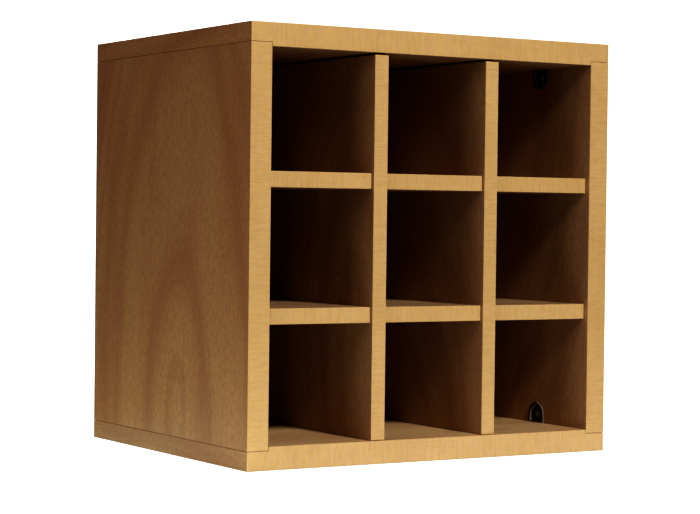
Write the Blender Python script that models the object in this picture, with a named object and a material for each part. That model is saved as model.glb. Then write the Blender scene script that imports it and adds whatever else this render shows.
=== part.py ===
"""Nine-bottle wine rack: a laminated board carcass with an interlocking divider grid inside.

The frame is metres, +Z up, with the origin under the middle of the base. The open front faces -Y.
Every board is a plain rectangle that is then grooved, slotted or bored, and its front edge carries a
thin edge band. Eccentric connectors in the side panels pull the top and bottom boards up tight.
"""

from math import cos, pi, sin, tau

import bmesh
import bpy
from mathutils import Matrix, Vector

# Driving dimensions
WIDTH = 0.410
HEIGHT = 0.410
DEPTH = 0.335
OUTER = 0.022  # thickness of the top, bottom and side boards
INNER = 0.015  # thickness of the dividers and shelves
BACK = 0.004  # thickness of the back board
BAND = 0.001  # thickness of the edge band
RABBET = 0.004  # how far a side panel is let into the top and bottom boards
BACK_LEDGE = 0.010  # width of the rear step that the back board lies in
GRID_HEADROOM = 0.002  # the grid is this much lower than the opening
DIVIDER_SETBACK = 0.002  # front of a divider behind the front of the carcass
SHELF_SETBACK = 0.006  # front of a shelf behind the front of the carcass
COLUMNS = 3

# Clearances
GAP = 0.0003  # between pieces that touch
SLOT_CLEARANCE = 0.00025  # each side of a board in a cross-lap slot
GRID_CLEARANCE = 0.0005  # each side of the grid, and behind it

# Eccentric connectors
CONNECTOR_WIDTH = 0.022
CONNECTOR_HEIGHT = 0.0195  # of the housing, above the board that it stands on
CONNECTOR_DEPTH = 0.0130  # into the side panel
FLANGE = 0.0010
FLANGE_LIP = 0.0015
RIM = 0.0026  # width of the flange's raised edge, around the dish in its face
DISH_DEPTH = 0.0022  # of the dish, behind the side panel's face
DISH_WALL = 0.0010  # between the dish and the cam's drum
CAM_RADIUS = 0.0060
CAM_LENGTH = 0.0078
HUB_RADIUS = 0.0026
HUB_OUT = 0.0010  # how far the cam's hub stands out of the dish's floor
HUB_RECESS = 0.0014  # depth of the cross recess in the hub
BOLT_IN_BOARD = 0.0110
BOLT_RADIUS = 0.0030
BOLT_POINT = 0.0015  # height of the tapered point
BOLT_SHOULDER = 0.0010  # height of the cone from shank to neck
BOLT_HEAD_RADIUS = 0.0028
BOLT_HEAD_LOW = 0.0015  # of the mushroom head, below its widest place
BOLT_HEAD_HIGH = 0.0020  # of the mushroom head, above its widest place
BOLT_NECK_RADIUS = 0.0018
CONNECTOR_PLACES = (-DEPTH / 4, DEPTH / 4)

# Back board screws
SCREW_HEAD_RADIUS = 0.0030
SCREW_SHANK_RADIUS = 0.0013
SCREW_SUNK = 0.0001  # face of the head below the back board's face
SCREW_RIM_END = 0.0004  # depth where the head's rim turns into its cone
SCREW_CONE_END = 0.0021
SCREW_LENGTH = 0.016
SCREW_POINT = 0.003
SCREW_CROSS = (0.0018, 0.0004, 0.0012)  # half length and half width of an arm, and its depth
SCREW_INSET = 0.005  # from the edge of the back board
SCREW_CORNER_SHIFT = 0.035  # corner screws stand in from the corners, clear of the connectors

# Derived places
FRONT = -DEPTH / 2
REAR = DEPTH / 2
INSIDE_X = WIDTH / 2 - OUTER  # inner face of a side panel
INSIDE_TOP = HEIGHT - OUTER
BACK_FACE = REAR - BACK  # front face of the back board
CELL = (WIDTH - 2 * OUTER - (COLUMNS - 1) * INNER) / COLUMNS
GRID_HEIGHT = HEIGHT - 2 * OUTER - GRID_HEADROOM
ROW = (GRID_HEIGHT - (COLUMNS - 1) * INNER) / COLUMNS
GRID_REAR = BACK_FACE - GRID_CLEARANCE
DIVIDER_X = [-INSIDE_X + CELL * (i + 1) + INNER * (i + 0.5) for i in range(COLUMNS - 1)]
SHELF_Z = [OUTER + ROW * (i + 1) + INNER * (i + 0.5) for i in range(COLUMNS - 1)]
CAM_Z = OUTER + CONNECTOR_HEIGHT - CONNECTOR_WIDTH / 2  # cam's axis, on the arch's own centre
DISH_FLOOR = INSIDE_X + DISH_DEPTH
DRUM_START = DISH_FLOOR + DISH_WALL + GAP
BOLT_X = DRUM_START + CAM_LENGTH / 2  # bolt's axis, inside the side panel


def clear_scene():
    for obj in list(bpy.data.objects):
        bpy.data.objects.remove(obj, do_unlink=True)


def make_material(name, colour, roughness, metallic=0.0):
    material = bpy.data.materials.new(name)
    material.use_nodes = True
    shader = material.node_tree.nodes["Principled BSDF"]
    shader.inputs["Base Color"].default_value = (*colour, 1.0)
    shader.inputs["Roughness"].default_value = roughness
    shader.inputs["Metallic"].default_value = metallic
    return material


def add_object(name, bm, material=None, smooth=False):
    bmesh.ops.recalc_face_normals(bm, faces=bm.faces)
    mesh = bpy.data.meshes.new(name)
    bm.to_mesh(mesh)
    bm.free()
    if smooth:
        mesh.shade_smooth()
        mesh.set_sharp_from_angle(angle=pi / 6)
    obj = bpy.data.objects.new(name, mesh)
    bpy.context.scene.collection.objects.link(obj)
    if material:
        mesh.materials.append(material)
    return obj


def box_between(name, low, high, material=None):
    """A cuboid whose origin is its own centre."""
    low, high = Vector(low), Vector(high)
    bm = bmesh.new()
    bmesh.ops.create_cube(bm, size=1.0, matrix=Matrix.Diagonal((*(high - low), 1.0)))
    obj = add_object(name, bm, material)
    obj.location = (low + high) / 2
    return obj


def prism_along_x(name, outline, x_low, x_high, material=None, smooth=False):
    """An outline of (y, z) points, pushed from x_low to x_high."""
    bm = bmesh.new()
    face = bm.faces.new([bm.verts.new((x_low, y, z)) for y, z in outline])
    pushed = bmesh.ops.extrude_face_region(bm, geom=[face])["geom"]
    moved = [v for v in pushed if isinstance(v, bmesh.types.BMVert)]
    bmesh.ops.translate(bm, verts=moved, vec=(x_high - x_low, 0, 0))
    return add_object(name, bm, material, smooth)


def turned(name, profile, sides, material=None):
    """A solid of revolution about +Z. The profile is (radius, height) from the foot to the top."""
    bm = bmesh.new()
    rings = []
    for radius, height in profile:
        if radius == 0:
            rings.append([bm.verts.new((0, 0, height))])
            continue
        angles = [tau * i / sides for i in range(sides)]
        rings.append([bm.verts.new((radius * cos(a), radius * sin(a), height)) for a in angles])
    for lower, upper in zip(rings, rings[1:]):
        for i in range(sides):
            j = (i + 1) % sides
            corners = [lower[i % len(lower)], lower[j % len(lower)]]
            corners += [upper[j % len(upper)], upper[i % len(upper)]]
            bm.faces.new(dict.fromkeys(corners))
    return add_object(name, bm, material, smooth=True)


def cut(obj, cutter):
    """Takes the cutter's shape out of obj. The cutter stays in the scene as a hidden helper."""
    cutter.hide_render = True
    cutter.display_type = "WIRE"
    modifier = obj.modifiers.new("cut " + cutter.name, "BOOLEAN")
    modifier.operation = "DIFFERENCE"
    modifier.object = cutter


def join(obj, addition):
    """Fuses the addition's shape to obj. The addition stays in the scene as a hidden helper."""
    cut(obj, addition)
    obj.modifiers[-1].operation = "UNION"


def arch_outline(width, low, high, places=12):
    """A doorway shape in (y, z): straight sides up from low, and a half-round head that ends at high."""
    radius = width / 2
    spring = high - radius
    head = [(radius * cos(a), spring + radius * sin(a)) for a in (pi * i / places for i in range(places + 1))]
    return [(-radius, low), (radius, low), *head]


# Carcass -----------------------------------------------------------------------------------------


def cut_back_ledges(board, side):
    """Steps the board's rear inner edge, so that the back board lies flush in it."""
    reach = BACK_LEDGE + GAP
    depth = BACK + GAP
    far = 1.0
    if side in ("left", "right"):
        sign = -1 if side == "left" else 1
        xs = sorted((sign * (INSIDE_X - GAP), sign * (INSIDE_X + reach)))
        low, high = (xs[0], REAR - depth, -far), (xs[1], REAR + depth, far)
    else:
        zs = (OUTER - reach, OUTER + GAP) if side == "bottom" else (INSIDE_TOP - GAP, INSIDE_TOP + reach)
        half = INSIDE_X + reach
        low, high = (-half, REAR - depth, zs[0]), (half, REAR + depth, zs[1])
    cut(board, box_between("cutter_ledge_" + side, low, high))


def make_flat_boards(laminate):
    """Top and bottom boards: full width, rabbeted at each end for the side panels."""
    boards = {}
    for side, z in (("bottom", 0.0), ("top", HEIGHT - OUTER)):
        low = (-WIDTH / 2, FRONT + BAND + GAP, z)
        board = box_between(side + "_panel", low, (WIDTH / 2, REAR, z + OUTER), laminate)
        inner = OUTER if side == "bottom" else INSIDE_TOP
        zs = (inner - RABBET, inner + RABBET)
        for sign in (-1, 1):
            xs = sorted((sign * (INSIDE_X - GAP), sign * WIDTH))
            name = f"cutter_rabbet_{side}_{'left' if sign < 0 else 'right'}"
            cut(board, box_between(name, (xs[0], -DEPTH, zs[0]), (xs[1], DEPTH, zs[1])))
        cut_back_ledges(board, side)
        boards[side] = board
    return boards


def make_side_panels(laminate):
    boards = {}
    for side, sign in (("left", -1), ("right", 1)):
        xs = sorted((sign * INSIDE_X, sign * WIDTH / 2))
        low = (xs[0], FRONT + BAND + GAP, OUTER - RABBET + GAP)
        high = (xs[1], REAR, INSIDE_TOP + RABBET - GAP)
        board = box_between(side + "_side_panel", low, high, laminate)
        cut_back_ledges(board, side)
        boards[side] = board
    return boards


def make_back_board(hardboard):
    half = INSIDE_X + BACK_LEDGE
    low = (-half, BACK_FACE, OUTER - BACK_LEDGE)
    return box_between("back_panel", low, (half, REAR, INSIDE_TOP + BACK_LEDGE), hardboard)


# Divider grid ------------------------------------------------------------------------------------


def make_dividers(laminate):
    """Upright boards. Each has a slot from the rear to mid depth for every shelf."""
    boards = []
    for name, x in zip(("left_divider", "right_divider"), DIVIDER_X):
        low = (x - INNER / 2, FRONT + DIVIDER_SETBACK + BAND + GAP, OUTER + GAP)
        high = (x + INNER / 2, GRID_REAR, OUTER + GRID_HEIGHT)
        board = box_between(name, low, high, laminate)
        for i, z in enumerate(SHELF_Z):
            half = INNER / 2 + SLOT_CLEARANCE
            low = (x - INNER, -GRID_CLEARANCE / 2, z - half)
            high = (x + INNER, REAR, z + half)
            cut(board, box_between(f"cutter_slot_{name}_{i}", low, high))
        boards.append(board)
    return boards


def make_shelves(laminate):
    """Level boards. Each has a slot from the front to mid depth for every divider."""
    boards = []
    for name, z in zip(("lower_shelf", "upper_shelf"), SHELF_Z):
        half_width = INSIDE_X - GRID_CLEARANCE
        low = (-half_width, FRONT + SHELF_SETBACK + BAND + GAP, z - INNER / 2)
        board = box_between(name, low, (half_width, GRID_REAR, z + INNER / 2), laminate)
        for i, x in enumerate(DIVIDER_X):
            half = INNER / 2 + SLOT_CLEARANCE
            low = (x - half, FRONT, z - INNER)
            high = (x + half, GRID_CLEARANCE / 2, z + INNER)
            cut(board, box_between(f"cutter_slot_{name}_{i}", low, high))
        boards.append(board)
    return boards


# Edge bands --------------------------------------------------------------------------------------


def make_band(name, x_range, z_range, setback, banding):
    """A strip on the front edge of a board, with its front corners eased."""
    front = FRONT + setback
    low = (x_range[0], front, z_range[0])
    band = box_between(name, low, (x_range[1], front + BAND, z_range[1]), banding)
    bevel = band.modifiers.new("eased corners", "BEVEL")
    bevel.width = 0.0003
    bevel.segments = 1
    bevel.limit_method = "WEIGHT"
    weights = band.data.attributes.new("bevel_weight_edge", "FLOAT", "EDGE")
    for edge in band.data.edges:
        ends = [band.data.vertices[i].co for i in edge.vertices]
        weights.data[edge.index].value = float(all(end.y < 0 for end in ends))
    return band


def make_bands(banding):
    half = WIDTH / 2
    seam_low, seam_high = OUTER - RABBET + GAP, INSIDE_TOP + RABBET - GAP
    step = INSIDE_X - GAP
    for side, sign in (("left", -1), ("right", 1)):
        xs = sorted((sign * INSIDE_X, sign * half))
        make_band(side + "_side_edge_band", xs, (seam_low, seam_high), 0.0, banding)
    # The top and bottom bands follow the rabbeted ends of their boards.
    for side in ("bottom", "top"):
        z = (0.0, OUTER) if side == "bottom" else (INSIDE_TOP, HEIGHT)
        band = make_band(side + "_edge_band", (-half, half), z, 0.0, banding)
        inner = OUTER if side == "bottom" else INSIDE_TOP
        for sign in (-1, 1):
            xs = sorted((sign * step, sign * WIDTH))
            name = f"cutter_band_{side}_{'left' if sign < 0 else 'right'}"
            low = (xs[0], -DEPTH, inner - RABBET)
            cut(band, box_between(name, low, (xs[1], DEPTH, inner + RABBET)))
    for name, x in zip(("left_divider", "right_divider"), DIVIDER_X):
        xs = (x - INNER / 2, x + INNER / 2)
        zs = (OUTER + GAP, OUTER + GRID_HEIGHT)
        make_band(name + "_edge_band", xs, zs, DIVIDER_SETBACK, banding)
    slot = INNER / 2 + SLOT_CLEARANCE
    ends = [-INSIDE_X + GRID_CLEARANCE]
    for x in DIVIDER_X:
        ends += [x - slot, x + slot]
    ends.append(INSIDE_X - GRID_CLEARANCE)
    for shelf, z in zip(("lower_shelf", "upper_shelf"), SHELF_Z):
        for i, place in enumerate(("left", "middle", "right")):
            zs = (z - INNER / 2, z + INNER / 2)
            make_band(f"{shelf}_edge_band_{place}", ends[2 * i : 2 * i + 2], zs, SHELF_SETBACK, banding)


# Eccentric connectors ----------------------------------------------------------------------------


def place_connector_piece(obj, x_sign, z_sign, y):
    """Moves a piece made for the right-hand bottom corner, at mid depth, to its own corner."""
    turn = Matrix.Translation((0, y, 0))
    if x_sign < 0:
        turn @= Matrix.Rotation(pi, 4, "Z")
    if z_sign < 0:
        turn @= Matrix.Translation((0, 0, HEIGHT)) @ Matrix.Rotation(pi, 4, "X")
    obj.matrix_basis = turn @ obj.matrix_basis


def make_housing(name, plastic):
    """Moulded arch let into the side panel, with a thin flange that covers the edge of its pocket."""
    foot = OUTER + GAP
    top = OUTER + CONNECTOR_HEIGHT
    face = INSIDE_X - GAP
    flange_outline = arch_outline(CONNECTOR_WIDTH + 2 * FLANGE_LIP, foot, top + FLANGE_LIP)
    neck_outline = arch_outline(CONNECTOR_WIDTH, foot, top)
    body_outline = arch_outline(CONNECTOR_WIDTH, OUTER - RABBET + GAP, top)
    housing = prism_along_x(name, body_outline, INSIDE_X, INSIDE_X + CONNECTOR_DEPTH, plastic, smooth=True)
    neck = prism_along_x(name + "_neck", neck_outline, face - FLANGE / 2, INSIDE_X + FLANGE)
    flange = prism_along_x(name + "_flange", flange_outline, face - FLANGE, face)
    dish_width = CONNECTOR_WIDTH + 2 * (FLANGE_LIP - RIM)
    dish_outline = arch_outline(dish_width, foot + RIM / 2, top + FLANGE_LIP - RIM)
    dish = prism_along_x("cutter_dish_" + name, dish_outline, face - 2 * FLANGE, DISH_FLOOR)
    join(housing, neck)
    join(housing, flange)
    cut(housing, dish)
    return housing, neck, flange, dish


def cam_profile(start, clearance):
    """The cam's hub and drum as (radius, x) points, or with a clearance the space that they turn in."""
    hub, drum = HUB_RADIUS + clearance, CAM_RADIUS + clearance
    step = DRUM_START - clearance
    end = DRUM_START + CAM_LENGTH + clearance
    return [(0, start), (hub, start), (hub, step), (drum, step), (drum, end), (0, end)]


def lay_along_x(obj):
    """Turns a solid of revolution from the Z axis to the cam's own axis."""
    obj.data.transform(Matrix.Translation((0, 0, CAM_Z)) @ Matrix.Rotation(pi / 2, 4, "Y"))


def make_cam(name, zinc):
    """Turning piece: a hub with a cross recess, and a drum with a slot for the bolt's head."""
    cam = turned(name, cam_profile(DISH_FLOOR - HUB_OUT, 0.0), 20, zinc)
    lay_along_x(cam)
    return cam


def make_bolt(name, steel):
    """Steel bolt, screwed into the flat board, whose mushroom head the cam pulls on."""
    foot = OUTER - RABBET - BOLT_IN_BOARD + GAP
    collar = OUTER - RABBET
    head = CAM_Z
    profile = [
        (0, foot),
        (BOLT_RADIUS * 0.7, foot),
        (BOLT_RADIUS, foot + BOLT_POINT),
        (BOLT_RADIUS, collar),
        (BOLT_NECK_RADIUS, collar + BOLT_SHOULDER),
        (BOLT_NECK_RADIUS, head - BOLT_HEAD_LOW),
        (BOLT_HEAD_RADIUS, head),
        (BOLT_HEAD_RADIUS * 0.75, head + BOLT_HEAD_HIGH * 0.8),
        (0, head + BOLT_HEAD_HIGH),
    ]
    bolt = turned(name, profile, 12, steel)
    bolt.data.transform(Matrix.Translation((BOLT_X, 0, 0)))
    return bolt


def connector_cutters(tag):
    """The bores and pockets of one connector, for the right-hand bottom corner."""
    pocket_top = OUTER + CONNECTOR_HEIGHT + GAP
    pocket_outline = arch_outline(CONNECTOR_WIDTH + 2 * GAP, OUTER - 2 * RABBET, pocket_top)
    pocket_end = INSIDE_X + CONNECTOR_DEPTH + GAP
    pocket = prism_along_x("cutter_pocket_" + tag, pocket_outline, INSIDE_X - GAP, pocket_end)
    bore = turned("cutter_cam_bore_" + tag, cam_profile(INSIDE_X, GAP), 20)
    lay_along_x(bore)
    way_radius = BOLT_RADIUS + 2 * GAP
    way = turned("cutter_bolt_way_" + tag, [(0, 0), (way_radius, 0), (way_radius, CAM_Z), (0, CAM_Z)], 12)
    way.data.transform(Matrix.Translation((BOLT_X, 0, 0)))
    hole_foot = OUTER - RABBET - BOLT_IN_BOARD
    hole_radius = BOLT_RADIUS + GAP
    profile = [(0, hole_foot), (hole_radius, hole_foot), (hole_radius, OUTER), (0, OUTER)]
    hole = turned("cutter_bolt_hole_" + tag, profile, 12)
    hole.data.transform(Matrix.Translation((BOLT_X, 0, 0)))
    slot_half = BOLT_HEAD_RADIUS + GAP
    slot = box_between(
        "cutter_cam_slot_" + tag,
        (BOLT_X - slot_half, -slot_half, CAM_Z - 2 * CAM_RADIUS),
        (BOLT_X + slot_half, slot_half, CAM_Z + slot_half),
    )
    arm, half = HUB_RADIUS * 0.75, HUB_RADIUS * 0.2
    cross = []
    for i, (dy, dz) in enumerate(((arm, half), (half, arm))):
        low = (INSIDE_X, -dy, CAM_Z - dz)
        high = (DISH_FLOOR - HUB_OUT + HUB_RECESS, dy, CAM_Z + dz)
        cross.append(box_between(f"cutter_cross_{tag}_{i}", low, high))
    return pocket, bore, way, hole, slot, cross


def make_connectors(flat_boards, side_panels, plastic, zinc, steel):
    for flat, z_sign in (("bottom", 1), ("top", -1)):
        for side, x_sign in (("left", -1), ("right", 1)):
            for place, y in zip(("front", "rear"), CONNECTOR_PLACES):
                tag = f"{flat}_{side}_{place}"
                pocket, bore, way, hole, slot, cross = connector_cutters(tag)
                housing, *helpers = make_housing("connector_housing_" + tag, plastic)
                cam = make_cam("connector_cam_" + tag, zinc)
                bolt = make_bolt("connector_bolt_" + tag, steel)
                cut(side_panels[side], pocket)
                cut(flat_boards[flat], hole)
                cut(housing, bore)
                cut(housing, way)
                for tool in (slot, *cross):
                    cut(cam, tool)
                for piece in (pocket, bore, way, hole, slot, *cross, *helpers, housing, cam, bolt):
                    place_connector_piece(piece, x_sign, z_sign, y)


# Back board screws -------------------------------------------------------------------------------


def screw_places():
    """Where the back board's screws stand, as name, x and z."""
    half = INSIDE_X + BACK_LEDGE - SCREW_INSET
    rows = {"bottom": OUTER - BACK_LEDGE + SCREW_INSET, "top": INSIDE_TOP + BACK_LEDGE - SCREW_INSET}
    rows["middle"] = HEIGHT / 2
    columns = {"left": -half, "centre": 0.0, "right": half}
    for row, z in rows.items():
        for column, x in columns.items():
            if (row, column) == ("middle", "centre"):
                continue
            if row != "middle":
                x -= SCREW_CORNER_SHIFT * (x > 0) - SCREW_CORNER_SHIFT * (x < 0)
            yield f"{row}_{column}", x, z


def make_back_screws(back, flat_boards, side_panels, steel):
    """Countersunk screws through the back board into the carcass, driven from behind."""
    head, shank = SCREW_HEAD_RADIUS, SCREW_SHANK_RADIUS
    turn = Matrix.Rotation(pi / 2, 4, "X")
    for name, x, z in screw_places():
        to_place = Matrix.Translation((x, REAR, z)) @ turn
        profile = [(0, SCREW_SUNK), (head, SCREW_SUNK), (head, SCREW_RIM_END), (shank, SCREW_CONE_END)]
        profile += [(shank, SCREW_LENGTH - SCREW_POINT), (0, SCREW_LENGTH)]
        screw = turned("back_screw_" + name, profile, 12, steel)
        arm, half, deep = SCREW_CROSS
        for i, (dx, dy) in enumerate(((arm, half), (half, arm))):
            recess = box_between(f"cutter_screw_cross_{name}_{i}", (-dx, -dy, -deep), (dx, dy, deep))
            recess.matrix_basis = to_place @ recess.matrix_basis
            cut(screw, recess)
        screw.matrix_basis = to_place
        start, end = -SCREW_RIM_END, SCREW_LENGTH + GAP
        sink = [(0, start), (head + GAP, start), (head + GAP, SCREW_RIM_END + GAP)]
        sink += [(shank + GAP, SCREW_CONE_END + GAP), (shank + GAP, end), (0, end)]
        hole = turned("cutter_screw_hole_" + name, sink, 12)
        hole.matrix_basis = to_place
        cut(back, hole)
        row, column = name.split("_")
        cut(side_panels[column] if row == "middle" else flat_boards[row], hole)


def main():
    clear_scene()
    laminate = make_material("laminate", (0.55, 0.30, 0.14), 0.42)
    banding = make_material("banding", (0.55, 0.37, 0.17), 0.45)
    hardboard = make_material("hardboard", (0.16, 0.09, 0.043), 0.75)
    plastic = make_material("connector_plastic", (0.038, 0.024, 0.017), 0.45)
    zinc = make_material("zinc", (0.62, 0.64, 0.60), 0.45, 1.0)
    steel = make_material("steel", (0.58, 0.55, 0.46), 0.30, 1.0)
    flat_boards = make_flat_boards(laminate)
    side_panels = make_side_panels(laminate)
    back = make_back_board(hardboard)
    make_dividers(laminate)
    make_shelves(laminate)
    make_bands(banding)
    make_connectors(flat_boards, side_panels, plastic, zinc, steel)
    make_back_screws(back, flat_boards, side_panels, steel)


main()
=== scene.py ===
"""Looks of the nine-bottle wine rack: wood-grain laminate, edge bands, raw board edges and fittings.

The frame is metres, +Z up, origin under the middle of the base. The open front faces -Y.
"""

from math import cos, pi, radians, sin

import bpy
from mathutils import Matrix, Vector


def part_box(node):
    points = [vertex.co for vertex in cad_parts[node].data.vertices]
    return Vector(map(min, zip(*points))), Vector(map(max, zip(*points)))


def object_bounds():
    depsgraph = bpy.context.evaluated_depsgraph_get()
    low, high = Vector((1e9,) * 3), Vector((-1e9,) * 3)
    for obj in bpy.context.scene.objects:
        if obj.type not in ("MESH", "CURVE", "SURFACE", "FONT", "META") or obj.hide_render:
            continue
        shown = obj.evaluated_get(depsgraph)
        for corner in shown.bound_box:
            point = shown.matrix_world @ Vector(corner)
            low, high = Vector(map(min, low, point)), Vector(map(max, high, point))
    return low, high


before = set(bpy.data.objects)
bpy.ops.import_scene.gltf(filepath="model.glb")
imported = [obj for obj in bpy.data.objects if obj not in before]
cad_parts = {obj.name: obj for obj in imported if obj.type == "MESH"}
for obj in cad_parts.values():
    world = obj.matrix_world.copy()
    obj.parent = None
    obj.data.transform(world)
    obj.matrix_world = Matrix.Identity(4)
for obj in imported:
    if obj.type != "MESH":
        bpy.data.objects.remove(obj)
cad_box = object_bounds()

# Camera: its lens and sensor are in millimetres
CAMERA_PLACE = Vector((-1.1097, -1.8252, 0.2320))
CAMERA_YAW = radians(-31.40)
CAMERA_PITCH = radians(-1.07)
CAMERA_ROLL = radians(0.67)
CAMERA_LENS = 106.9
CAMERA_REACH = 100.0
SENSOR_WIDTH = 36.0

# Studio lights: name, place, the point that it faces, size, power, colour
LIGHT_COLOUR = (1.0, 0.97, 0.93)
LEFT_FILL_COLOUR = (1.0, 0.90, 0.96)
SOFT = (0.7, 0.7)
STUDIO_LIGHTS = (
    ("key", (0.0, -2.5, 2.0), (0.0, 0.0, 0.2), (0.5, 0.5), 57.0, LIGHT_COLOUR),
    ("left_fill", (-1.7, -0.45, 0.75), (-0.2, -0.1, 0.2), SOFT, 4.8, LEFT_FILL_COLOUR),
    ("right_fill", (1.8, 0.4, 0.9), (0.2, 0.0, 0.2), SOFT, 11.0, LIGHT_COLOUR),
    ("back_fill", (0.5, 2.4, 1.2), (0.0, 0.2, 0.2), SOFT, 24.0, LIGHT_COLOUR),
)

# Cards that face up and light the rack's foot: their size from left to right and from front to back.
# They lie between the floor and the level of the rack's underside, a gap away from its faces.
LEFT_CARD = (0.30, 0.70)
LEFT_CARD_PAST_BACK = 0.06
LEFT_CARD_POWER = 0.37
LEFT_CARD_COLOUR = (0.86, 1.02, 0.90)
FRONT_CARD = (0.57, 0.20)
FRONT_CARD_SHIFT = 0.02
FRONT_CARD_POWER = 0.20
FRONT_CARD_COLOUR = (0.92, 0.99, 1.15)
CARD_HEIGHT = -0.0003
CARD_GAP = 0.0005

# Surroundings
AMBIENT = 0.012
AMBIENT_COLOUR = (0.90, 0.98, 1.0)
WHITE_GLOW = 0.85
FLOOR_DARK = (0.20, 0.20, 0.20)
FLOOR_PALE = (0.24, 0.24, 0.24)
FLOOR_HALF = 14.0
FLOOR_HEIGHT = -0.0005

# Laminate colours, linear
WARM = (0.60, 0.340, 0.155)
PALE = (0.64, 0.390, 0.180)
DEEP = (0.43, 0.200, 0.092)
# Painted shade: multiplies the laminate's colour on the faces in the cells, so that they are darker.
INSIDE_PAINTED_SHADE = (0.77, 0.83, 0.92)
# Painted light and shade on the shelves: a multiply that makes them less red and more blue.
SHELF_PAINTED_LIGHT_AND_SHADE = (0.78, 0.95, 1.18)
# Painted light: makes the cell floor on the bottom board lighter and less red.
FLOOR_PAINTED_LIGHT = (1.06, 1.34, 1.62)

# Edge band colours, linear
BAND_WARM = (0.57, 0.392, 0.188)
BAND_PALE = (0.60, 0.422, 0.210)
BAND_DEEP = (0.47, 0.295, 0.125)
BAND_YELLOW = (0.60, 0.405, 0.150)

# Raw board, back board and connector colours, linear
CHIP_DARK = (0.24, 0.135, 0.062)
CHIP_PALE = (0.60, 0.41, 0.22)
HARDBOARD_DARK = (0.13, 0.070, 0.034)
HARDBOARD_PALE = (0.19, 0.108, 0.052)
HARDBOARD_FIBRE = (0.085, 0.044, 0.021)
HARDBOARD_SPECK = (0.28, 0.18, 0.10)
PLASTIC_DARK = (0.026, 0.016, 0.011)
PLASTIC_PALE = (0.050, 0.032, 0.022)
PLASTIC_GRAIN = (0.085, 0.060, 0.045)
# Painted highlight on the rims of the connector housings
PLASTIC_PAINTED_HIGHLIGHT = (0.30, 0.255, 0.225)
ZINC_PALE = (0.50, 0.62, 0.60)
ZINC_DARK = (0.34, 0.43, 0.42)
STEEL_PALE = (0.70, 0.66, 0.56)
STEEL_DARK = (0.46, 0.43, 0.36)

# The laminate's broad dark rings: the smallest one's radius, and the step from ring to ring
DARK_RING = 0.060
RING_SPACING = 0.080

# How fast the log's middle line leaves the sheet, and how far the rings wander
RING_LEAN = 0.39
RING_WANDER = 0.05

# A face counts as looking along an axis when its normal's part along it passes this.
FLAT = 0.97

# Eased edges
WELD_DISTANCE = 0.00002
BOARD_EDGE = 0.00015
PIECE_EDGE = 0.0002
SHARP = radians(50)

# Sockets of a mix node. Its kinds share their sockets' names, so they are told apart by number.
MIX_FACTOR = 0
NUMBER_A, NUMBER_B, NUMBER_OUT = 2, 3, 0
COLOUR_A, COLOUR_B, COLOUR_OUT = 6, 7, 2


# Node helpers ------------------------------------------------------------------------------------


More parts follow.
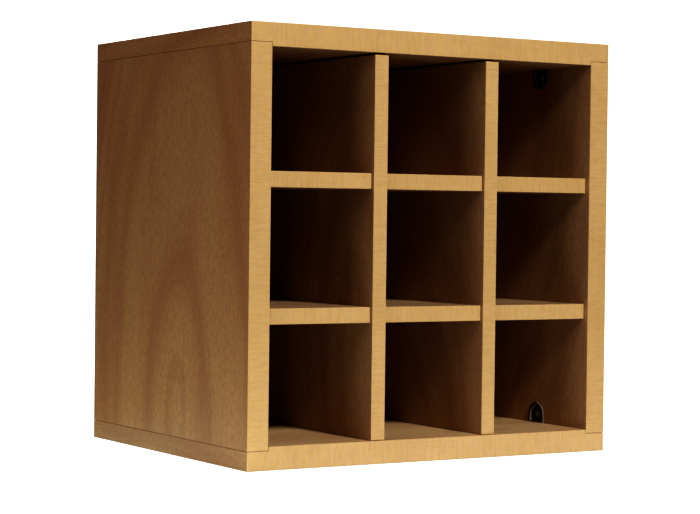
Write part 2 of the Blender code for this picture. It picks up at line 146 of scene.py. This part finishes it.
class Tree:
    """Short calls for building a material's nodes. A value is a number, a colour or a socket."""

    def __init__(self, name):
        self.material = bpy.data.materials.new(name)
        self.material.use_nodes = True
        self.nodes = self.material.node_tree.nodes
        self.links = self.material.node_tree.links
        self.shader = self.nodes["Principled BSDF"]

    def add(self, kind, **settings):
        node = self.nodes.new(kind)
        for key, value in settings.items():
            setattr(node, key, value)
        return node

    def feed(self, socket, value):
        if isinstance(value, bpy.types.NodeSocket):
            self.links.new(value, socket)
        else:
            socket.default_value = value

    def math(self, operation, a, b=0.0):
        node = self.add("ShaderNodeMath", operation=operation)
        self.feed(node.inputs[0], a)
        self.feed(node.inputs[1], b)
        return node.outputs[0]

    def object_place(self):
        return self.add("ShaderNodeTexCoord").outputs["Object"]

    def stretch(self, vector, scale, offset=(0, 0, 0), turn=(0, 0, 0)):
        node = self.add("ShaderNodeMapping")
        self.feed(node.inputs["Vector"], vector)
        node.inputs["Scale"].default_value = scale
        node.inputs["Location"].default_value = offset
        node.inputs["Rotation"].default_value = turn
        return node.outputs[0]

    def noise(self, vector, scale, detail=3.0, roughness=0.5, distortion=0.0):
        node = self.add("ShaderNodeTexNoise")
        self.feed(node.inputs["Vector"], vector)
        node.inputs["Scale"].default_value = scale
        node.inputs["Detail"].default_value = detail
        node.inputs["Roughness"].default_value = roughness
        node.inputs["Distortion"].default_value = distortion
        return node.outputs["Fac"]

    def chips(self, vector, scale):
        """A random number for each of many small angular cells."""
        node = self.add("ShaderNodeTexVoronoi")
        self.feed(node.inputs["Vector"], vector)
        node.inputs["Scale"].default_value = scale
        return self.split(node.outputs["Color"])[0]

    def span(self, value, low, high):
        """Rises smoothly from 0 to 1 as the value goes from low to high."""
        node = self.add("ShaderNodeMapRange", interpolation_type="SMOOTHSTEP")
        self.feed(node.inputs["Value"], value)
        node.inputs["From Min"].default_value = low
        node.inputs["From Max"].default_value = high
        return node.outputs["Result"]

    def mix(self, factor, a, b, blend="MIX"):
        node = self.add("ShaderNodeMix", data_type="RGBA", blend_type=blend)
        self.feed(node.inputs[MIX_FACTOR], factor)
        for socket, value in ((COLOUR_A, a), (COLOUR_B, b)):
            self.feed(node.inputs[socket], (*value, 1.0) if isinstance(value, tuple) else value)
        return node.outputs[COLOUR_OUT]

    def layer(self, colour, pattern, low, high, strength, tone):
        """Lays a tone over a colour where a pattern rises from low to high."""
        cover = self.math("MULTIPLY", self.span(pattern, low, high), strength)
        return self.mix(cover, colour, tone)

    def choose(self, factor, a, b):
        """The number a where the factor is 0, and b where it is 1."""
        node = self.add("ShaderNodeMix", data_type="FLOAT")
        for socket, value in ((MIX_FACTOR, factor), (NUMBER_A, a), (NUMBER_B, b)):
            self.feed(node.inputs[socket], value)
        return node.outputs[NUMBER_OUT]

    def split(self, vector):
        node = self.add("ShaderNodeSeparateXYZ")
        self.feed(node.inputs[0], vector)
        return node.outputs

    def join(self, x, y, z):
        node = self.add("ShaderNodeCombineXYZ")
        for i, value in enumerate((x, y, z)):
            self.feed(node.inputs[i], value)
        return node.outputs[0]

    def normal_parts(self):
        return self.split(self.add("ShaderNodeNewGeometry").outputs["True Normal"])

    def bump(self, height, strength, distance):
        node = self.add("ShaderNodeBump")
        self.feed(node.inputs["Height"], height)
        node.inputs["Strength"].default_value = strength
        node.inputs["Distance"].default_value = distance
        self.feed(self.shader.inputs["Normal"], node.outputs[0])

    def finish(self, colour, roughness, specular=0.5, metallic=0.0, coat=0.0, coat_roughness=0.2):
        self.feed(self.shader.inputs["Base Color"], colour)
        self.feed(self.shader.inputs["Roughness"], roughness)
        self.shader.inputs["Specular IOR Level"].default_value = specular
        self.shader.inputs["Metallic"].default_value = metallic
        self.shader.inputs["Coat Weight"].default_value = coat
        self.shader.inputs["Coat Roughness"].default_value = coat_roughness
        return self.material


# Materials ---------------------------------------------------------------------------------------


def particleboard(tree, place):
    """Colour and tone of the raw core: pressed wood chips with fine dust between them."""
    chips = tree.chips(tree.stretch(place, (1.0, 1.0, 1.7)), 420.0)
    dust = tree.noise(place, 900.0, 4.0, 0.65)
    tone = tree.math("ADD", tree.math("MULTIPLY", chips, 0.65), tree.math("MULTIPLY", dust, 0.5))
    return tree.mix(tone, CHIP_DARK, CHIP_PALE), tone


def grain_space(tree, place, along):
    """Turns a place into (across the grain, along the grain, depth) for the face it is on.

    The ends of a board whose grain runs along X are faced with a strip whose grain runs along Y.
    """
    x, y, z = tree.split(place)
    if along == "Z":
        return tree.join(y, z, x)
    end = tree.math("GREATER_THAN", tree.math("ABSOLUTE", tree.normal_parts()[0]), FLAT)
    return tree.join(tree.choose(end, y, z), tree.choose(end, x, y), tree.choose(end, z, x))


def growth_rings(tree, grain, pith):
    """Distance from the middle line of the log that the sheet was cut from.

    The line crosses the sheet at pith, (across, along), and leans away from it slowly, so that the
    rings show as tall arches over that place and as nearly straight lines beside it.
    """
    across, along = pith
    sheet = tree.stretch(grain, (1, RING_LEAN, 0), offset=(-across, -along * RING_LEAN, 0))
    radius = tree.add("ShaderNodeVectorMath", operation="LENGTH")
    tree.feed(radius.inputs[0], sheet)
    wander = tree.noise(tree.stretch(grain, (1, 0.3, 1)), 11.0, 2.0, 0.5)
    wander = tree.math("MULTIPLY", tree.math("SUBTRACT", wander, 0.5), RING_WANDER)
    return tree.math("ADD", radius.outputs["Value"], wander)


def laminate_figure(tree, grain, seed, pith):
    """Colour, fibres and pores of the printed wood.

    Its colour also has growth rings, broad changes of tone and fine mottling.
    """
    shifted = tree.stretch(grain, (1, 1, 1), offset=seed)
    radius = growth_rings(tree, grain, pith)
    rings = tree.noise(tree.join(radius, seed[0], seed[1]), 75.0, 3.0, 0.55)
    phase = tree.math("MULTIPLY", tree.math("SUBTRACT", radius, DARK_RING), 2 * pi / RING_SPACING)
    wave = tree.math("COSINE", phase)
    clouds = tree.noise(tree.stretch(shifted, (1, 0.25, 1)), 16.0, 3.0, 0.55)
    fibres = tree.noise(tree.stretch(shifted, (1, 0.03, 1)), 420.0, 3.0, 0.6)
    pores = tree.span(tree.noise(tree.stretch(shifted, (1, 0.06, 1)), 1300.0, 2.0, 0.7), 0.58, 0.72)
    mottle = tree.noise(tree.stretch(shifted, (1, 0.35, 1)), 430.0, 2.0, 0.6)

    colour = tree.mix(tree.span(clouds, 0.36, 0.64), WARM, PALE)
    colour = tree.layer(colour, wave, 0.0, 1.0, 0.24, DEEP)
    colour = tree.layer(colour, wave, 0.80, 1.0, 0.22, DEEP)
    colour = tree.layer(colour, rings, 0.48, 0.62, 0.32, DEEP)
    colour = tree.layer(colour, fibres, 0.40, 0.70, 0.18, DEEP)
    colour = tree.mix(tree.math("MULTIPLY", pores, 0.28), colour, DEEP)
    colour = tree.layer(colour, mottle, 0.38, 0.66, 0.42, DEEP)
    return colour, fibres, pores


def painted_light_faces(tree, faces):
    """1 on the faces that look into the cells and get painted light and shade: those along one signed
    axis, or "all".
    """
    if faces == "all":
        return 1.0
    axis, sign = faces
    toward = tree.math("MULTIPLY", tree.normal_parts()[axis], float(sign + "1"))
    return tree.math("GREATER_THAN", toward, FLAT)


def board_material(name, along, seed, pith, faces, painted_light_and_shade):
    """Laminate with its grain along X or Z, and painted light and shade on its faces in the cells. Faces
    along Y are raw chipboard.
    """
    tree = Tree(name)
    place = tree.object_place()
    colour, fibres, pores = laminate_figure(tree, grain_space(tree, place, along), seed, pith)
    # Painted light and shade: the faces in the cells are multiplied by a colour.
    painted_colour = tree.mix(1.0, colour, painted_light_and_shade, blend="MULTIPLY")
    colour = tree.mix(painted_light_faces(tree, faces), colour, painted_colour)
    rough = tree.math("ADD", 0.36, tree.math("MULTIPLY", fibres, 0.16))
    height = tree.math("SUBTRACT", tree.math("MULTIPLY", fibres, 0.5), tree.math("MULTIPLY", pores, 0.7))

    core, tone = particleboard(tree, place)
    raw = tree.math("GREATER_THAN", tree.math("ABSOLUTE", tree.normal_parts()[1]), FLAT)
    colour = tree.mix(raw, colour, core)
    rough = tree.math("ADD", rough, tree.math("MULTIPLY", raw, 0.4))
    height = tree.math("ADD", height, tree.math("MULTIPLY", tree.math("MULTIPLY", raw, tone), 3.0))
    tree.bump(height, 0.25, 0.0002)
    return tree.finish(colour, rough, specular=0.45, coat=0.12, coat_roughness=0.3)


def band_material(name, along, seed):
    """Edge band: lines and flecks across its length, faint streaks along it, and blotches."""
    tree = Tree(name)
    place = tree.object_place()
    shifted = tree.stretch(place, (1, 1, 1), offset=seed)
    across = {"X": (1, 1, 0.035), "Z": (0.035, 1, 1)}[along]
    short = {"X": (1, 1, 0.22), "Z": (0.22, 1, 1)}[along]
    lengthways = {"X": (0.05, 1, 1), "Z": (1, 1, 0.05)}[along]
    lines = tree.noise(tree.stretch(shifted, across), 640.0, 3.0, 0.6)
    flecks = tree.noise(tree.stretch(shifted, short), 420.0, 2.0, 0.55)
    streaks = tree.noise(tree.stretch(shifted, lengthways), 260.0, 2.0, 0.5)
    slow = tree.noise(shifted, 14.0, 2.0, 0.5)
    blotches = tree.noise(shifted, 230.0, 3.0, 0.6)
    colour = tree.mix(tree.span(slow, 0.32, 0.68), BAND_WARM, BAND_PALE)
    colour = tree.layer(colour, blotches, 0.45, 0.62, 0.5, BAND_YELLOW)
    colour = tree.layer(colour, lines, 0.42, 0.70, 0.24, BAND_DEEP)
    colour = tree.layer(colour, flecks, 0.47, 0.62, 0.26, BAND_DEEP)
    colour = tree.layer(colour, streaks, 0.50, 0.75, 0.16, BAND_DEEP)
    rough = tree.math("ADD", 0.40, tree.math("MULTIPLY", lines, 0.14))
    tree.bump(tree.math("ADD", lines, tree.math("MULTIPLY", streaks, 0.4)), 0.2, 0.00015)
    return tree.finish(colour, rough, specular=0.42, coat=0.08, coat_roughness=0.3)


def hardboard_material():
    """Back board: pressed brown fibre with a screen-like mottling."""
    tree = Tree("hardboard")
    place = tree.object_place()
    fibres = tree.noise(tree.stretch(place, (1, 1, 0.35)), 700.0, 5.0, 0.7, 0.8)
    clouds = tree.noise(place, 22.0, 3.0, 0.5)
    specks = tree.span(tree.noise(place, 1300.0, 1.0), 0.64, 0.74)
    colour = tree.mix(clouds, HARDBOARD_DARK, HARDBOARD_PALE)
    colour = tree.layer(colour, fibres, 0.35, 0.70, 0.6, HARDBOARD_FIBRE)
    colour = tree.mix(tree.math("MULTIPLY", specks, 0.5), colour, HARDBOARD_SPECK)
    rough = tree.math("ADD", 0.62, tree.math("MULTIPLY", fibres, 0.25))
    tree.bump(tree.math("ADD", fibres, specks), 0.35, 0.0003)
    return tree.finish(colour, rough, specular=0.3)


def plastic_material():
    """Connector housings: dark moulded plastic with a fine texture, and a painted highlight on its faces
    that don't look along X.
    """
    tree = Tree("connector_plastic")
    place = tree.object_place()
    grain = tree.noise(place, 2600.0, 3.0, 0.6)
    flow = tree.noise(tree.stretch(place, (1, 1, 0.4)), 90.0, 2.0, 0.5)
    colour = tree.mix(flow, PLASTIC_DARK, PLASTIC_PALE)
    colour = tree.layer(colour, grain, 0.55, 0.75, 0.4, PLASTIC_GRAIN)
    # Painted highlight: the rim faces, those that don't look along X, are paler.
    edge = tree.math("LESS_THAN", tree.math("ABSOLUTE", tree.normal_parts()[0]), FLAT)
    colour = tree.mix(edge, colour, PLASTIC_PAINTED_HIGHLIGHT)
    rough = tree.math("ADD", 0.30, tree.math("MULTIPLY", grain, 0.25))
    tree.bump(grain, 0.3, 0.0001)
    return tree.finish(colour, rough, specular=0.5)


def metal_material(name, pale, dark, roughness, scale, metallic=1.0):
    """Plated or die-cast metal with cloudy tone, fine scratches and darker pits."""
    tree = Tree(name)
    place = tree.object_place()
    clouds = tree.noise(place, scale, 3.0, 0.6)
    slanting = tree.stretch(place, (1, 1, 0.08), turn=(0.4, 0.7, 0.2))
    scratches = tree.noise(slanting, scale * 12, 2.0, 0.6)
    pits = tree.span(tree.noise(place, scale * 9, 2.0, 0.6), 0.62, 0.72)
    colour = tree.mix(clouds, pale, dark)
    colour = tree.mix(tree.math("MULTIPLY", pits, 0.6), colour, tuple(c * 0.5 for c in dark))
    rough = tree.math("ADD", roughness, tree.math("MULTIPLY", scratches, 0.22))
    tree.bump(tree.math("SUBTRACT", scratches, pits), 0.25, 0.0001)
    return tree.finish(colour, rough, metallic=metallic)


def stage_material():
    """Matt grey floor. It has a glow that only a direct look sees, so it looks white."""
    tree = Tree("pale_floor")
    tone = tree.noise(tree.object_place(), 3.0, 3.0, 0.5)
    tree.finish(tree.mix(tone, FLOOR_DARK, FLOOR_PALE), 0.9, specular=0.1)
    glow = tree.add("ShaderNodeEmission")
    glow.inputs["Color"].default_value = (1, 1, 1, 1)
    seen = tree.add("ShaderNodeLightPath").outputs["Is Camera Ray"]
    tree.feed(glow.inputs["Strength"], tree.math("MULTIPLY", seen, WHITE_GLOW))
    total = tree.add("ShaderNodeAddShader")
    tree.links.new(tree.shader.outputs[0], total.inputs[0])
    tree.links.new(glow.outputs[0], total.inputs[1])
    tree.links.new(total.outputs[0], tree.nodes["Material Output"].inputs["Surface"])
    return tree.material


# Dressing the CAD nodes --------------------------------------------------------------------------


def dress(name, material):
    """Gives a CAD node its material."""
    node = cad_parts[name]
    node.data.materials.clear()
    node.data.materials.append(material)
    return node


def ease_edges(node, width):
    """Joins the loaded mesh's split edges, and rounds the sharp ones."""
    weld = node.modifiers.new("weld", "WELD")
    weld.merge_threshold = WELD_DISTANCE
    bevel = node.modifiers.new("eased edges", "BEVEL")
    bevel.width = width
    bevel.segments = 2
    bevel.limit_method = "ANGLE"
    bevel.angle_limit = SHARP


def dress_boards():
    """Laminate on each board, with a figure of its own and painted light and shade on the faces in the
    cells.
    """
    # Along which axis the grain runs, seed, place of the pith, faces with painted light and shade, the
    # painted light and shade
    boards = {
        "top_panel": ("X", (3.1, 0.4, 1.7), (0.05, -0.40), "Z-", INSIDE_PAINTED_SHADE),
        "bottom_panel": ("X", (7.7, 2.4, 0.3), (-0.124, 0.08), "Z+", FLOOR_PAINTED_LIGHT),
        "left_side_panel": ("Z", (0.26, 5.33, 0.10), (-0.025, 0.05), "X+", INSIDE_PAINTED_SHADE),
        "right_side_panel": ("Z", (4.6, 1.2, 6.4), (0.04, 0.46), "X-", INSIDE_PAINTED_SHADE),
        "left_divider": ("Z", (2.2, 8.1, 3.9), (-0.13, 0.10), "all", INSIDE_PAINTED_SHADE),
        "right_divider": ("Z", (9.4, 3.3, 5.2), (0.02, -0.15), "all", INSIDE_PAINTED_SHADE),
        "lower_shelf": ("X", (6.1, 6.6, 2.8), (0.08, 0.25), "all", SHELF_PAINTED_LIGHT_AND_SHADE),
        "upper_shelf": ("X", (1.9, 9.2, 7.5), (-0.10, -0.30), "all", SHELF_PAINTED_LIGHT_AND_SHADE),
    }
    for name, looks in boards.items():
        ease_edges(dress(name, board_material("laminate_" + name, *looks)), BOARD_EDGE)


def dress_bands():
    """Edge banding on each front edge, from its own place in the pattern."""
    for i, name in enumerate(sorted(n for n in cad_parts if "edge_band" in n)):
        low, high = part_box(name)
        along = "X" if high.x - low.x > high.z - low.z else "Z"
        seed = (1.7 * i + 0.4, 0.9 * i, 2.3 * i + 1.1)
        ease_edges(dress(name, band_material("banding_" + name, along, seed)), PIECE_EDGE)


def dress_fittings():
    """Connectors, screws and the back board."""
    plastic = plastic_material()
    zinc = metal_material("zinc", ZINC_PALE, ZINC_DARK, 0.42, 160.0, metallic=0.4)
    steel = metal_material("plated_steel", STEEL_PALE, STEEL_DARK, 0.22, 220.0)
    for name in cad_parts:
        if name.startswith("connector_housing"):
            ease_edges(dress(name, plastic), PIECE_EDGE)
        elif name.startswith("connector_cam"):
            dress(name, zinc)
        elif name.startswith(("connector_bolt", "back_screw")):
            dress(name, steel)
    dress("back_panel", hardboard_material())


# Stage -------------------------------------------------------------------------------------------


def make_floor():
    mesh = bpy.data.meshes.new("floor")
    half = FLOOR_HALF
    corners = [(-half, -half, 0), (half, -half, 0), (half, half, 0), (-half, half, 0)]
    mesh.from_pydata(corners, [], [(0, 1, 2, 3)])
    floor = bpy.data.objects.new("floor", mesh)
    bpy.context.scene.collection.objects.link(floor)
    floor.location.z = FLOOR_HEIGHT
    mesh.materials.append(stage_material())


def area_light(name, place, target, size, power, colour):
    """Flat rectangular light that faces a target, and that a direct look doesn't see."""
    data = bpy.data.lights.new(name, "AREA")
    data.shape = "RECTANGLE"
    data.size, data.size_y = size
    data.energy = power
    data.color = colour
    light = bpy.data.objects.new(name, data)
    bpy.context.scene.collection.objects.link(light)
    light.location = place
    light.rotation_euler = (Vector(target) - Vector(place)).to_track_quat("-Z", "Y").to_euler()
    light.visible_camera = False


def floor_card(name, x, y, size, power, colour):
    """Light that lies on the floor with its middle at x, y, and faces up."""
    area_light(name, (x, y, CARD_HEIGHT), (x, y, 1.0), size, power, colour)


def make_lights():
    """A raised key in front, fills round the rack, and two cards by the left side and the front."""
    for light in STUDIO_LIGHTS:
        area_light(*light)
    low, high = cad_box
    width, depth = LEFT_CARD
    x = low.x - CARD_GAP - width / 2
    y = high.y + LEFT_CARD_PAST_BACK - depth / 2
    floor_card("left_card", x, y, LEFT_CARD, LEFT_CARD_POWER, LEFT_CARD_COLOUR)
    y = low.y - CARD_GAP - FRONT_CARD[1] / 2
    floor_card("front_card", FRONT_CARD_SHIFT, y, FRONT_CARD, FRONT_CARD_POWER, FRONT_CARD_COLOUR)


def make_world():
    """Dim even light all round, which a direct look sees as white."""
    world = bpy.data.worlds.new("studio")
    bpy.context.scene.world = world
    world.use_nodes = True
    nodes, links = world.node_tree.nodes, world.node_tree.links
    dim = nodes["Background"]
    dim.inputs["Color"].default_value = (*AMBIENT_COLOUR, 1.0)
    dim.inputs["Strength"].default_value = AMBIENT
    bright = nodes.new("ShaderNodeBackground")
    bright.inputs["Color"].default_value = (1, 1, 1, 1)
    bright.inputs["Strength"].default_value = WHITE_GLOW
    mixer = nodes.new("ShaderNodeMixShader")
    links.new(nodes.new("ShaderNodeLightPath").outputs["Is Camera Ray"], mixer.inputs[0])
    links.new(dim.outputs[0], mixer.inputs[1])
    links.new(bright.outputs[0], mixer.inputs[2])
    links.new(mixer.outputs[0], nodes["World Output"].inputs["Surface"])


def make_camera():
    """A long lens level with the rack's middle, to the left of its front."""
    data = bpy.data.cameras.new("camera")
    data.lens = CAMERA_LENS
    data.sensor_width = SENSOR_WIDTH
    data.clip_end = CAMERA_REACH
    camera = bpy.data.objects.new("camera", data)
    bpy.context.scene.collection.objects.link(camera)
    up = Vector((0, 0, 1))
    right = Vector((cos(CAMERA_YAW), sin(CAMERA_YAW), 0))
    ahead = Vector((-sin(CAMERA_YAW), cos(CAMERA_YAW), 0))
    look = ahead * cos(CAMERA_PITCH) + up * sin(CAMERA_PITCH)
    above = up * cos(CAMERA_PITCH) - ahead * sin(CAMERA_PITCH)
    side = right * cos(CAMERA_ROLL) + above * sin(CAMERA_ROLL)
    head = above * cos(CAMERA_ROLL) - right * sin(CAMERA_ROLL)
    turn = Matrix((side, head, -look)).transposed().to_4x4()
    camera.matrix_world = Matrix.Translation(CAMERA_PLACE) @ turn
    bpy.context.scene.camera = camera


def set_view():
    """How light becomes colour in the picture."""
    view = bpy.context.scene.view_settings
    view.view_transform = "Standard"
    view.look = "Very High Contrast"


dress_boards()
dress_bands()
dress_fittings()
make_floor()
make_lights()
make_world()
make_camera()
set_view()
